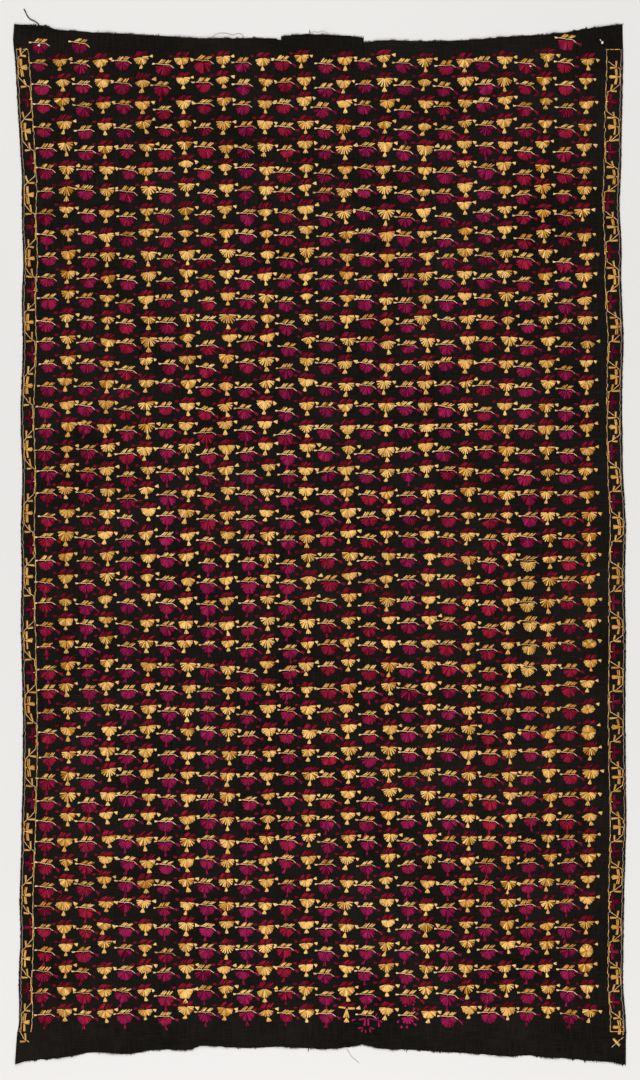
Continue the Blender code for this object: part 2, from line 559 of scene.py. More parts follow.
def column_x(place, y):
    """Across position of a column, counted over both kinds, at a height."""
    left = float(left_edge(y * MM)) / MM + FIRST_COLUMN
    right = float(right_edge(y * MM)) / MM - LAST_COLUMN
    return left + (right - left) * place / (2 * COLUMNS - 1)


def row_heights(kind, column, draw):
    """Heights of a column's cups, from the top down."""
    first = TOP_Y / MM - FIRST_ROW
    last = CAD_BOX[0].y / MM + LAST_ROW
    pitch = (first - last) / (ROWS - 1)
    phase = draw.uniform(0, 2 * math.pi)
    longer = kind == "magenta" and column in LONGER_COLUMNS
    lower = MAGENTA_LOWER * pitch if kind == "magenta" else 0
    return [
        first - lower - pitch * row + SLIP * math.sin(row / SLIP_ROWS + phase)
        for row in range(-1 if longer else 0, ROWS)
    ]


# Cups that the embroiderer worked another way: (column, row) and what stands there.
GOLD_ODD = {
    (7, 44): "tee", (13, 27): "round", (13, 30): "round", (13, 31): "disc", (13, 41): "disc",
}
MAGENTA_ODD = {
    (0, 28): "tee", (8, 44): "spider", (9, 44): "blossom",
    **{(12, row): "gold" for row in range(23, 29)},
}
WANDER = (2.0, 2.5)     # mm that a motif strays from its column and its row
TILT_WANDER = 3.5       # degrees that it leans
CHART_SEED = 20


class Motif:
    """One cup with its sprig: what it is, where its hub is, and how it was worked."""

    def __init__(self, draw, kind, style, x, y):
        self.kind = kind
        self.style = style
        self.x = (x + draw.gauss(0, WANDER[0])) * MM
        self.y = (y + draw.gauss(0, WANDER[1])) * MM
        self.tilt = math.radians(draw.gauss(0, TILT_WANDER))
        self.size = draw.gauss(1.0, 0.05)
        self.squat = draw.gauss(1.0, 0.07)
        self.tone = draw.gauss(0.0, 0.09)
        self.lot = 1.0 if draw.random() < SECOND_LOT_CHANCE else 0.0
        self.stem = False
        self.bud = True
        self.seed = draw.randrange(1 << 30)

    def place(self, x, y):
        """Shawl position, in metres, of a point in mm from the motif's hub."""
        x, y = x * self.size, y * self.size
        c, s = math.cos(self.tilt), math.sin(self.tilt)
        return self.x + (x * c - y * s) * MM, self.y + (x * s + y * c) * MM


HUB_ABOVE_MIDDLE = {"gold": 8.8, "magenta": 9.2}   # mm from a cup's middle up to its hub


@functools.cache
def field():
    """All motifs of the field."""
    draw = random.Random(CHART_SEED)
    motifs = []
    for kind, first_place, odd in (("gold", 1, GOLD_ODD), ("magenta", 0, MAGENTA_ODD)):
        for column in range(COLUMNS):
            hank = 0
            for row, y in enumerate(row_heights(kind, column, draw)):
                x = column_x(first_place + 2 * column, y)
                style = odd.get((column, row), "cup")
                motif = Motif(draw, kind, style, x, y + HUB_ABOVE_MIDDLE[kind])
                if kind == "magenta":
                    if hank <= 0:
                        hank, lot = draw.gauss(*HANK), draw.choice(LOTS)
                    hank -= 1
                    motif.lot = draw.gauss(lot, 0.15)
                    below = next(height for last, height in STEMS if column <= last)
                    motif.stem = draw.random() < STEM_CHANCES[0 if y < below else 1]
                    budless = column <= BUDLESS[0] and y >= BUDLESS[1]
                    motif.bud = not budless or draw.random() < BUD_CHANCE
                motifs.append(motif)
    return motifs


# ---------------------------------------------------------------------------------------
# Motifs, in mm from the hub at the middle of the cup's flat top
# ---------------------------------------------------------------------------------------

CUP_SPREAD = math.radians(169)   # the fan's outermost stitches lie nearly level
TIP_LIFT = 0.08                  # mm; neighbouring stitches lie a little over each other
RAY_TONE = 0.32                  # how much the shine varies from stitch to stitch
MAGENTA_CALM = 0.65              # ... and how much of that it does in magenta
RAY_ROOT = 0.32                  # a stitch's width at the hub: share of the pitch at the rim
RAY_START = (0.10, 0.03)         # shares of its run, across and down, left free at the hub
FULLNESS = (1.65, 2.4)           # of a cup's outline: 2 is an oval, more is squarer
LEAF_FLAT = (3.0, 1.8)           # mm that the flattest leaves lean further and stand lower


def rim(angle, half_width, depth, fullness=2.0):
    """Distance from a cup's hub to its rim at an angle from straight down."""
    across = abs(math.sin(angle) / half_width) ** fullness
    down = abs(math.cos(angle) / depth) ** fullness
    return (across + down) ** (-1 / fullness)


def cup(skein, motif, half_width, depth, rays, cover, tone, spread=CUP_SPREAD, fuller=0.0, low=0.0):
    """Fan of satin stitches from the hub to the rim of a cup; low is how far down its hub is."""
    draw = random.Random(motif.seed)
    fullness = draw.uniform(*FULLNESS) + fuller
    # painted sheen: each stitch's tone wanders at random, as if some stitches caught more light than
    # others
    wander = RAY_TONE * (MAGENTA_CALM if motif.kind == "magenta" else 1.0)
    for i in range(rays):
        share = (i + draw.gauss(0, 0.10)) / (rays - 1)
        angle = (share - 0.5) * spread
        reach = rim(angle, half_width, depth, fullness) * draw.gauss(1.0, 0.04)
        end = (reach * math.sin(angle), -reach * math.cos(angle) - low)
        start = (RAY_START[0] * end[0], min(0.0, RAY_START[1] * end[1]) - low)
        pitch = spread / (rays - 1) * reach
        skein.stitch(
            motif.place(*start), motif.place(*end),
            RAY_ROOT * pitch * MM, pitch * cover * draw.gauss(1.0, 0.10) * MM,
            tone + motif.tone + draw.gauss(0, wander), draw.gauss(1.0, 0.10),
            (i % 2) * TIP_LIFT * MM,
        )


def fan(skein, motif, apex, ends, width, width_end, tone, height=0.85):
    """A few stitches from one point, widening: feet, buds and petals."""
    draw = random.Random(motif.seed + round(apex[0] * 7 + apex[1] * 3))
    for end in ends:
        skein.stitch(
            motif.place(*apex), motif.place(*end), width * MM, width_end * MM,
            tone + motif.tone + draw.gauss(0, 0.1), height,
        )


def leaf(skein, motif, foot, stitches, lean, tall, pitch, tone):
    """A slanted leaf of satin stitches side by side, from its foot to the right.

    Some motifs' leaves are flatter: they lean further and stand less tall.
    """
    flat = motif.seed % 101 / 100
    lean, tall = lean + LEAF_FLAT[0] * flat, tall - LEAF_FLAT[1] * flat
    width = 1.2 * pitch * tall / math.hypot(lean, tall)
    draw = random.Random(motif.seed + round(foot[0] * 5))
    for i in range(stitches):
        x, y = foot[0] + i * pitch, foot[1] - 0.25 * i
        skein.stitch(
            motif.place(x, y),
            motif.place(x + lean * draw.gauss(1.0, 0.08), y + tall * draw.gauss(1.0, 0.08)),
            width * MM, None, tone + motif.tone + draw.gauss(0, RAY_TONE), 0.9,
        )


def line(skein, motif, points, width, tone, height=0.7):
    """Straight stitches from point to point."""
    for start, end in zip(points, points[1:]):
        skein.stitch(
            motif.place(*start), motif.place(*end), width * MM, None, tone + motif.tone, height
        )


def gold_tone(x, y):
    """Gold floss is brightest down the middle of the shawl; x and y are in metres."""
    return 0.24 * math.exp(-(x / 0.50) ** 4) - 0.12 * max(0.0, y - 0.4)


def magenta_tone(y):
    """Magenta floss is lighter towards the bottom."""
    return 0.02 - 0.05 * min(1.0, max(-1.0, y / 0.9))


def ramp(value, low, high):
    """0 below low, 1 above high and in proportion between them."""
    return min(1.0, max(0.0, (value - low) / (high - low)))


def red_lot(x, y):
    """The dark red floss is of a brighter dyeing in the lower left."""
    return 0.12 + 0.5 * ramp(-y, 0.0, 0.5) * ramp(-x, -0.1, 0.15)


def orange_lot(x, y):
    """The leaves' gold floss is of a more orange dyeing in the lower right."""
    return 0.75 * ramp(x, 0.28, 0.42) * ramp(-y, -0.35, 0.15)


# Gold cups: stitches in the fan, and how much of the cloth they cover at the rim
GOLD_DENSITIES = (
    (9, 0.62), (10, 0.64), (11, 0.72), (12, 0.78), (13, 0.74), (14, 0.84), (15, 0.90), (17, 0.94),
)


def gold_cup(skein, motif):
    """A gold cup on its three-stitch foot."""
    skein.lot = 0.05 + 0.35 * motif.lot
    tone = gold_tone(motif.x, motif.y)
    draw = random.Random(motif.seed + 1)
    rays, cover = draw.choice(GOLD_DENSITIES)
    wide = sizes().gold_half_width / MM
    deep = sizes().gold_depth / MM * motif.squat
    spread = CUP_SPREAD if draw.random() < 0.7 else math.radians(draw.uniform(125, 172))
    if motif.style in ("round", "disc"):
        half = deep * (0.62 if motif.style == "round" else 0.86)
        cup(skein, motif, wide * 0.95, half, 26, 0.85, tone, 2 * math.pi, 0.0, half)
        return
    if motif.style == "tee":
        tee(skein, motif, tone)
    else:
        cup(skein, motif, wide, deep, rays, cover, tone, spread)
    slant = draw.gauss(0, 1.6)
    splay = draw.uniform(2.4, 4.6)
    tall = draw.gauss(10.6, 1.0)
    ends = [(slant + i * splay, -deep - tall + 0.8 * abs(i)) for i in (-1, 0, 1)]
    fan(skein, motif, (0.2 * slant, 0.6 - deep), ends, 1.1, draw.uniform(3.2, 4.2), tone + 0.10)


def tee(skein, motif, tone):
    """A cup worked as two petals and a fishtail instead."""
    line(skein, motif, ((-17, 1), (-2, 0)), 5.0, tone)
    line(skein, motif, ((17, 1), (2, 0)), 5.0, tone)
    fan(skein, motif, (0, 0), ((-5, -20), (0, -19), (5, -20)), 2.0, 4.0, tone)


# Two cups of the last row, worked as plants of loose petals: start and end of each stitch in
# mm from the hub, and its widths there
LOOSE_PETALS = {
    "spider": (
        ((-2, -3), (-17, -6.5), 2.5, 4.5), ((-23, -6), (-32, -9), 1.5, 5.0),
        ((-3.5, -2), (-4.5, -20), 4.0, 5.0), ((3, -2), (4, -19), 4.0, 5.0),
        ((-6, -23), (-18, -25), 1.5, 3.5), ((-7, -24), (-10, -33), 1.5, 3.5),
        ((-1, -27), (-1.5, -34), 1.5, 4.0), ((7, -22), (17, -26), 1.5, 3.0),
        ((7, -23), (9, -33), 1.5, 4.0), ((4, -3.5), (31, -8), 1.6, 1.6),
        ((17, -2), (22, 8), 1.5, 3.5), ((19, -4), (26, -1), 2.0, 3.5),
        ((25, -8), (27, -21), 2.0, 5.0), ((28, -7), (33, -11), 2.0, 4.0),
    ),
    "blossom": (
        ((-2, -1), (-15, -5), 2.0, 6.0), ((-1.5, -2), (-12, -14), 2.0, 6.5),
        ((-0.5, -2), (-3, -17), 2.0, 6.0), ((0.5, -2), (5, -17), 2.0, 6.5),
        ((1, -2), (13, -12), 2.0, 6.5), ((2, -1), (14, -3), 2.0, 5.0),
        ((-21, -9), (-27, -13), 2.5, 6.0), ((-14, -20), (-17, -27), 2.0, 7.0),
        ((-2, -20), (-3, -27), 2.0, 7.0), ((13, -15), (20, -21), 2.0, 6.0),
        ((18, -4), (26, -6), 2.0, 6.0), ((17, 4), (24, 9), 2.0, 6.0),
        ((12, 13), (16, 22), 2.0, 6.0), ((11, 27), (14, 32), 2.0, 4.0),
        ((-5, 24), (-8, 29), 2.0, 4.0),
    ),
}


def loose_petals(skein, motif, tone):
    """A cup worked as a plant of loose petals instead."""
    for start, end, width, width_end in LOOSE_PETALS[motif.style]:
        skein.stitch(
            motif.place(*start), motif.place(*end), width * MM, width_end * MM, tone, 0.9
        )


def magenta_cup(skein, motif):
    """A magenta cup with its stem."""
    skein.lot = motif.lot
    tone = magenta_tone(motif.y)
    draw = random.Random(motif.seed + 1)
    wide = sizes().magenta_half_width / MM
    deep = sizes().magenta_depth / MM * motif.squat
    if motif.style in LOOSE_PETALS:
        skein.lot = -0.2
        loose_petals(skein, motif, tone + 0.38)
    elif motif.style == "tee":
        tee(skein, motif, tone)
    else:
        dense = draw.uniform(0.80, 1.04) if motif.y < -0.1 else draw.uniform(0.92, 1.10)
        rays = draw.choice((15, 17, 20))
        cup(skein, motif, wide, deep, rays, dense, tone, CUP_SPREAD, 0.2)
    if motif.stem and motif.style not in LOOSE_PETALS:
        slant = draw.gauss(-1.5, 2.0)
        splay = draw.uniform(0.8, 3.0)
        ends = [(slant + i * splay, -deep - 10.5) for i in (-1, 1)]
        fan(skein, motif, (-0.8, 1.0 - deep), ends, 1.6, 3.2, tone)


def bud_ends(draw, reach, drop, spread):
    """Where two stitches of a bud end, from its stalk at (0, 0)."""
    drop = drop * draw.gauss(1.0, 0.35)
    return (reach, -drop + spread / 2), (reach * 0.93, -drop - spread / 2)


def magenta_buds(skein, motif):
    """Bud at the right end of a gold sprig."""
    skein.lot = motif.lot
    draw = random.Random(motif.seed + 2)
    stalk = (20.7, -2.8)
    ends = [(stalk[0] + x, stalk[1] + y) for x, y in bud_ends(draw, 11.5, 5.5, 4.0)]
    fan(skein, motif, stalk, ends, 1.8, 3.0, magenta_tone(motif.y))


def gold_leaves(skein, motif):
    """The two gold leaves over a magenta cup, and the stalk of the first."""
    skein.lot = 0.8 if motif.seed % 7 == 0 else orange_lot(motif.x, motif.y)
    tone = gold_tone(motif.x, motif.y) + 0.04
    leaf(skein, motif, (-10.6, 5.6), 3, 6.6, 8.4, 3.0, tone)
    leaf(skein, motif, (1.6, 5.4), 3, 7.2, 7.8, 2.8, tone)
    line(skein, motif, ((-15.0, 3.9), (-10.0, 5.6)), 1.5, tone)


def cream_sprig(skein, motif):
    """The cream line over a magenta cup, with its round bud and the tick to the cup."""
    draw = random.Random(motif.seed + 3)
    clean = draw.random()
    tone = 0.65 * clean - 0.15
    line(skein, motif, ((-17.5, 4.2), (-1, 3.4), (12.6, 2.8)), 1.1 + 0.4 * clean, tone + 0.10)
    line(skein, motif, ((12.4, 3.0), (20.9, -3.4)), 1.4, tone + 0.15)
    ends = ((-24.2 + draw.gauss(0, 1.2), 5.2), (-24.2, 3.2))
    fan(skein, motif, (-17.0, 4.2), ends, 1.6, 2.4, tone + 0.15)
    line(skein, motif, ((-1, 3.2), (-0.6, 0.2)), 1.1, tone)


def red_sprig(skein, motif):
    """The dark red sprig over a gold cup: two leaves, a line and a bud."""
    skein.lot = red_lot(motif.x, motif.y)
    tone = 0.14 - 0.12 * ramp(motif.x, 0.2, 0.4) * ramp(-motif.y, -0.1, 0.3)
    tone -= 0.05 * ramp(motif.y, 0.3, 0.8)
    leaf(skein, motif, (-12.4, 4.2), 3, 7.2, 9.4, 3.5, tone)
    leaf(skein, motif, (1.2, 4.0), 3, 8.0, 8.6, 3.4, tone)
    line(skein, motif, ((-17, 3.2), (-2, 2.8), (12, 2.4), (18.5, -1.0)), 1.6, tone)
    line(skein, motif, ((-28.2, 4.6), (-19.2, 4.6)), 2.4, tone - 0.08)
    line(skein, motif, ((-28.0, 2.3), (-19.2, 2.3)), 2.4, tone - 0.08)


def gold_buds(skein, motif):
    """Three-cornered bud at the right end of a dark red sprig."""
    draw = random.Random(motif.seed + 2)
    stalk = (18.5, -0.2)
    turn = draw.gauss(-0.36, 0.30)
    reach = draw.uniform(7.5, 10.0)
    ends = [
        (stalk[0] + reach * math.cos(angle), stalk[1] + reach * math.sin(angle))
        for angle in (turn - 0.32, turn, turn + 0.32)
    ]
    fan(skein, motif, stalk, ends, 1.2, 2.8, gold_tone(motif.x, motif.y) + 0.32)


def reverse_side(skein, motif, half_width, depth):
    """The small stitches that a cup and its sprig leave on the back of the cloth."""
    draw = random.Random(motif.seed + 4)
    for i in range(8):
        angle = ((i + 0.5) / 8 - 0.5) * CUP_SPREAD
        step = 0.10 * draw.gauss(1.0, 0.2)
        ends = []
        for a in (angle - step, angle + step):
            reach = rim(a, half_width, depth)
            ends.append((reach * math.sin(a), -reach * math.cos(a)))
        line(skein, motif, ends, 1.5, 0.25, 0.35)
    for x, y in ((-9, 6), (-3, 14), (3, 6), (9, 13)):
        line(skein, motif, ((x, y), (x + 4, y - 0.3)), 1.5, 0.2, 0.35)


# ---------------------------------------------------------------------------------------
# Side borders: a vine between two lines, round flowers that face in and out in turn
# ---------------------------------------------------------------------------------------

BAND = 28          # mm between a border's two lines in the charts below
OUTER_LINE = 4.3   # mm from the selvedge to the outer line
BAND_STEP = 90     # mm between the places where the two lines are set out
SWAY_LENGTH = 190  # mm in which the inner line's sway turns by one radian


def set_out(first, last, inner, sway):
    """Places down a border, and its outer and inner line's distance in from the selvedge."""
    return [
        (down, OUTER_LINE, inner + sway * math.sin(down / SWAY_LENGTH))
        for down in range(first, last, BAND_STEP)
    ]


LEFT_BAND = set_out(55, 2230, 30, 1.5)
RIGHT_BAND = set_out(55, 2260, 35, 2)
# Gold flowers, in mm down from the top; a dark red one stands halfway between two of them
LEFT_FLOWERS = tuple(95 + 140 * i for i in range(16))
RIGHT_FLOWERS = tuple(115 + 110 * i for i in range(20))
PITCH = 140   # mm between gold flowers where the vine below was charted
LINE_STITCH = 7.5


class Border:
    """One side border, in mm: down the shawl and in from its outer line."""

    def __init__(self, band, edge, inward, flowers, seed):
        self.down, self.outer, self.inner = (np.array(c) for c in zip(*band))
        self.edge = edge
        self.inward = inward
        self.flowers = flowers
        self.draw = random.Random(seed)

    def place(self, down, inset):
        """Shawl position, in metres, of a point of the band."""
        y = TOP_Y - down * MM
        outer = np.interp(down, self.down, self.outer)
        inner = np.interp(down, self.down, self.inner)
        offset = outer + inset / BAND * (inner - outer)
        return float(self.edge(y) + self.inward * offset * MM), y

    def stitch(self, skein, origin, scale, start, end, width, width_end=None, tone=0.3):
        """A stitch between two points charted as (along, inset) from an origin down the band."""
        wander = self.draw.gauss(0, 0.6)
        skein.stitch(
            self.place(origin + scale * start[0], start[1] + wander),
            self.place(origin + scale * end[0], end[1] + wander),
            width * MM, (width if width_end is None else width_end) * MM,
            tone + self.draw.gauss(0, 0.1), 0.85,
        )

    def path(self, skein, origin, scale, points, width, tone, step=LINE_STITCH):
        """Stem stitches along straight runs between points."""
        for start, end in zip(points, points[1:]):
            run = math.hypot((end[0] - start[0]) * scale, end[1] - start[1])
            count = max(1, round(run / step))
            places = [
                (start[0] + (end[0] - start[0]) * i / count,
                 start[1] + (end[1] - start[1]) * i / count)
                for i in range(count + 1)
            ]
            for a, b in zip(places, places[1:]):
                over = 0.12 * (b[0] - a[0]), 0.12 * (b[1] - a[1])
                self.stitch(
                    skein, origin, scale, a, (b[0] + over[0], b[1] + over[1]), width, tone=tone
                )


def borders():
    """The two side borders."""
    return (
        Border(LEFT_BAND, left_edge, 1, LEFT_FLOWERS, 31),
        Border(RIGHT_BAND, right_edge, -1, RIGHT_FLOWERS, 32),
    )


def flower(border, skein, stalk_skein, down, facing_in, scale, tone, full=1.0):
    """Two petals along the border and a fishtail across it, on a small stalk."""
    def inset(n):
        return n if facing_in else BAND - n

    for way in (-1, 1):
        long = border.draw.uniform(17.5, 21)
        bend = border.draw.uniform(0.0, 3.0)
        for row in (6.8, 9.4):
            border.stitch(
                skein, down, scale, (way * 2.2, inset(row)), (way * long, inset(row + bend)),
                2.0 * full, 2.8 * full, tone,
            )
    splay = border.draw.uniform(1.6, 4.4)
    for way in (-1, 0, 1):
        border.stitch(
            skein, down, scale, (way * 1.2, inset(6)), (way * splay, inset(23 - abs(way))),
            2.0 * full, 3.4 * full, tone,
        )
    border.stitch(stalk_skein, down, scale, (0, inset(1)), (0, inset(6)), 1.6, tone=0.2)


def vine_leaves(border, skein, down, scale, tone, leaves):
    """Leaves of the vine, from their feet to their blunt tips."""
    for foot, tip in leaves:
        aside = [border.draw.gauss(0, 1.6) for _ in tip]
        border.stitch(
            skein, down, scale, foot, (tip[0] + aside[0], tip[1] + aside[1]), 2.4, 5.0, tone
        )


# The vine between the outer and the inner line: its path and its leaves. "after" runs down from
# a gold flower, "before" up from one, and "end" into the border's last corner.
VINES = {
    "after": (((21.6, 1.8), (36, 14), (43, 25.5)), (((40, 18.5), (22.5, 15.2)), ((41, 19), (41, 3)))),
    "before": (((-43, 25.5), (-31.5, 12.8), (-20.6, 2)),
               (((-26.5, 9.3), (-43, 9.8)), ((-26, 8.5), (-26, 24.5)))),
    "end": (((21.6, 1.8), (44, 26)), ()),
}


def vine(border, skein, stalk_skein, down, scale, tone, where):
    """A stretch of the vine beside a gold flower."""
    path, leaves = VINES[where]
    border.path(stalk_skein, down, scale, path, 1.6, 0.1)
    vine_leaves(border, skein, down, scale, tone, leaves)


def border_gold(skein, stalks, border):
    """Gold flowers and the vine that winds round them."""
    flowers = border.flowers
    for i, down in enumerate(flowers):
        before = (down - flowers[i - 1]) / PITCH if i else (flowers[1] - down) / PITCH
        after = (flowers[i + 1] - down) / PITCH if i + 1 < len(flowers) else before
        tone = border.draw.gauss(0.08, 0.07)
        skein.lot = border.draw.uniform(0.1, 0.55)
        size = min(1.0, (before * after) ** 0.25)
        flower(border, skein, stalks, down, True, size, tone, 1.15)
        border.path(
            skein, down, 1.0, ((-20.6 * before, 1.6), (0, 1.2), (21.6 * after, 1.6)), 2.1,
            tone - 0.05,
        )
        vine(border, skein, stalks, down, before, tone, "before")
        if i + 1 < len(flowers):
            vine(border, skein, stalks, down, after, tone, "after")
            gap = flowers[i + 1] - down
            border.path(
                skein, down, 1.0, ((43 * after, 25.5), (gap / 2, 26.6), (gap - 43 * after, 25.5)),
                2.1, tone - 0.05,
            )
        elif border.inward > 0:
            vine(border, skein, stalks, down, after, tone, "after")
        else:
            vine(border, skein, stalks, down, 1.0, tone, "end")
            border.stitch(skein, down, 1.0, (25, 24), (42, 9), 4.6, 6.0, tone)


def border_red(skein, stalks, border):
    """Dark red flowers, facing out, halfway between the gold ones."""
    for before, after in zip(border.flowers, border.flowers[1:]):
        scale = min(1.0, ((after - before) / PITCH) ** 0.5)
        tone = border.draw.gauss(-0.20, 0.06)
        skein.lot = border.draw.uniform(0.4, 1.0)
        flower(border, skein, stalks, (before + after) / 2, False, scale, tone, 1.4)


def border_lines(outer, inner_gold, inner_dull, border):
    """The border's two straight lines, and the lines that close its ends."""
    inner_gold.lot = 0.1
    first, last = border.down[0], border.down[-1]
    count = round((last - first) / LINE_STITCH)
    for i in range(count):
        down = first + (last - first) * i / count
        long = (last - first) / count * 1.15
        border.stitch(outer, down, 1.0, (0, 0), (long, 0), 1.5, tone=0.25)
        inner = inner_gold if (i // 2) % 2 else inner_dull
        border.stitch(inner, down, 1.0, (0, BAND), (long, BAND), 1.6, tone=0.28)
    ends = (first,) if border.inward > 0 else (first, last)
    for down in ends:
        for n in range(0, BAND, 7):
            border.stitch(inner_gold, down, 1.0, (0, n), (0, n + 7.5), 1.5, tone=0.2)


# ---------------------------------------------------------------------------------------
# Seams, frayed ends, loose threads and tufts
# ---------------------------------------------------------------------------------------


WHIP_REACH = (1.8, 2.4)    # mm that a whip stitch reaches into a panel
WHIP_SLANT = 1.4           # mm that it climbs on either side
FRAY_REACH = (0.6, 3.2)    # mm that a loose warp end stands out of the cut
FRAY_WIDTH = (0.9, 2.0)
LONG_ENDS = (0.03, 2.0)    # the share of them that are long, and how many times as long
LOOP_LENGTH = (2.5, 11.0)  # mm of selvedge from one weft loop to the next
LOOP_MARGIN = 30           # mm of selvedge without loops at each end
END_BITE = 1.5             # mm that a loose end starts inside the cloth


def whip_seam(skein, side):
    """Whip stitches over a seam, from one panel's selvedge to the other's."""
    low, high = (float(end_edge(s, along_side(PANELS[1], side, 0.0))) for s in ("bottom", "top"))
    count = int((high - low) / sizes().whip_spacing)
    for i in range(1, count):
        y = low + (high - low) * i / count + skein.draw.gauss(0, 0.4) * MM
        x = float(along_side(PANELS[1], side, y))
        reach = skein.draw.uniform(*WHIP_REACH) * MM
        skein.stitch(
            (x - reach, y - WHIP_SLANT * MM), (x + reach, y + WHIP_SLANT * MM),
            0.7 * MM, None, 0.3, 0.3,
        )


def fray_end(skein, node, side, way):
    """Loose warp ends, with a kink in each, beyond a panel's cut end."""
    places = SIDES[node][side][0]
    count = int((places[-1] - places[0]) / sizes().fray_spacing)
    draw = skein.draw
    for i in range(count):
        x = places[0] + (places[-1] - places[0]) * (i + draw.random()) / count
        y = float(along_side(node, side, x)) - way * END_BITE * MM
        clump = 0.75 + 0.55 * math.sin(x / (7 * MM) + 3 * math.sin(x / (31 * MM)))
        reach = 1.4 * MM + draw.uniform(*FRAY_REACH) * MM * clump
        reach *= LONG_ENDS[1] if draw.random() < LONG_ENDS[0] else 1.0
        drift = draw.gauss(0, 0.7) * MM
        middle = (x + drift, y + way * reach * 0.6)
        end = (middle[0] + draw.gauss(0, 1.0) * MM, y + way * reach)
        width = draw.uniform(*FRAY_WIDTH) * MM
        skein.stitch((x, y), middle, width, None, 0.0, 0.6, -0.2 * MM)
        skein.stitch(middle, end, width, 0.6 * width, 0.0, 0.6, -0.4 * MM)


def selvedge_loops(skein, edge, way):
    """Small loops of weft that stand out of an outer selvedge, unevenly drawn in."""
    draw = skein.draw
    low, high = (float(SIDES[PANELS[0]][side][1].mean()) for side in ("bottom", "top"))
    y = low + LOOP_MARGIN * MM
    while y < high - LOOP_MARGIN * MM:
        long = draw.uniform(*LOOP_LENGTH) * MM
        reach = abs(draw.gauss(0, 0.5)) * MM
        x = float(edge(y)) - way * 1.0 * MM
        skein.stitch(
            (x, y), (x + way * (1.0 * MM + reach), y + draw.gauss(0, 0.05) * MM),
            long, 0.6 * long, draw.uniform(0.2, 0.9), 0.6, -0.3 * MM,
        )
        y += 0.8 * long


# Loose threads: colour, thickness in mm, and points in mm from the middle of the shawl, with
# their height above the table
LOOSE_THREADS = (
    ("black", 2.4, ((-611, 1134, 4.6), (-615, 1140, 3.6), (-620, 1146, 1.8), (-626, 1151, 1.4),
                    (-635, 1155, 1.4), (-642, 1162, 1.4), (-646, 1170, 1.3), (-650, 1178, 1.3))),
    ("black", 1.8, ((-668, 1138, 3.4), (-665, 1143, 2.0), (-659, 1142, 2.0), (-655, 1138, 3.6))),
    ("black", 1.8, ((-655, 1138, 4.0), (-651, 1142, 2.2), (-645, 1143, 1.8), (-640, 1138, 4.0))),
    ("black", 1.8, ((-642, 1137, 4.2), (-638, 1141, 2.4), (-632, 1140, 2.0), (-627, 1135, 4.0))),
    ("black", 0.6, ((-240, 1112, 3.6), (-228, 1122, 1.8), (-208, 1125, 1.0), (-190, 1121, 1.2),
                    (-176, 1124, 1.0), (-163, 1113, 3.4))),
    ("grey", 0.6, ((-22, 1122, 3.6), (-14, 1128, 1.6), (-2, 1127, 1.0), (8, 1130, 1.0),
                   (22, 1121, 3.4))),
    ("grey", 0.6, ((55, -1103, 3.8), (63, -1114, 1.8), (73, -1129, 1.0), (80, -1134, 0.9),
                   (86, -1140, 0.8))),
)
# Tufts: across, up, half length, half width, lean in degrees
TUFTS = (
    (-617, 1098, 2.8, 2.1, 12), (622, 1104, 3.2, 2.5, 60), (618, 1109, 2.6, 0.9, -55),
    (464, 1052, 2.2, 1.5, -20),
)


def thread_tube(thickness, points):
    """Mesh of a round thread along a smooth line through points in mm."""
    curve = bpy.data.curves.new("thread", "CURVE")
    curve.dimensions = "3D"
    curve.bevel_depth = thickness / 2 * MM
    curve.bevel_resolution = 1
    curve.resolution_u = 6
    curve.use_fill_caps = True
    spline = curve.splines.new("BEZIER")
    spline.bezier_points.add(len(points) - 1)
    for knot, point in zip(spline.bezier_points, points):
        knot.co = Vector(point) * MM
        knot.handle_left_type = knot.handle_right_type = "AUTO"
    holder = bpy.data.objects.new("thread", curve)
    mesh = bpy.data.meshes.new_from_object(holder)
    bpy.data.objects.remove(holder)
    bpy.data.curves.remove(curve)
    return mesh


def join_meshes(name, meshes, material):
    """One mesh of several."""
    bm = bmesh.new()
    for mesh in meshes:
        bm.from_mesh(mesh)
        bpy.data.meshes.remove(mesh)
    bmesh.ops.recalc_face_normals(bm, faces=bm.faces)
    return smooth_mesh(name, bm, material)


def tuft_mesh(across, up, long, wide, lean, draw):
    """A flattened, lumpy tuft of cotton."""
    bm = bmesh.new()
    bmesh.ops.create_icosphere(bm, subdivisions=3, radius=1.0)
    for vert in bm.verts:
        vert.co *= 1 + draw.uniform(-0.12, 0.12)
    bmesh.ops.scale(bm, verts=bm.verts, vec=(long * MM, wide * MM, 1.2 * MM))
    bmesh.ops.rotate(
        bm, verts=bm.verts, matrix=Matrix.Rotation(math.radians(lean), 3, "Z")
    )
    x, y = across * MM, up * MM
    height = float(cloth_face(np.array([x]), np.array([y]))[0])
    bmesh.ops.translate(bm, verts=bm.verts, vec=(x, y, height + 0.7 * MM))
    mesh = bpy.data.meshes.new("tuft")
    bm.to_mesh(mesh)
    bm.free()
    return mesh


# ---------------------------------------------------------------------------------------
# Cloth
# ---------------------------------------------------------------------------------------

SEAM_PARTING = 0.3 * MM   # between the panels' solids; the cloth itself meets at a seam
CELL_ACROSS = 8 * MM
CELL_ALONG = 13 * MM
NARROW_CELLS = (0.0, 1.5 * MM, 4 * MM, 8 * MM)   # closer to a panel's sides


def cell_places(length, cell):
    """Where a grid's lines lie between 0 and 1: close together near both ends."""
    inner = np.linspace(
        NARROW_CELLS[-1], length - NARROW_CELLS[-1], max(2, round(length / cell))
    )
    near = np.array(NARROW_CELLS[:-1])
    return np.concatenate((near, inner, length - near[::-1])) / length


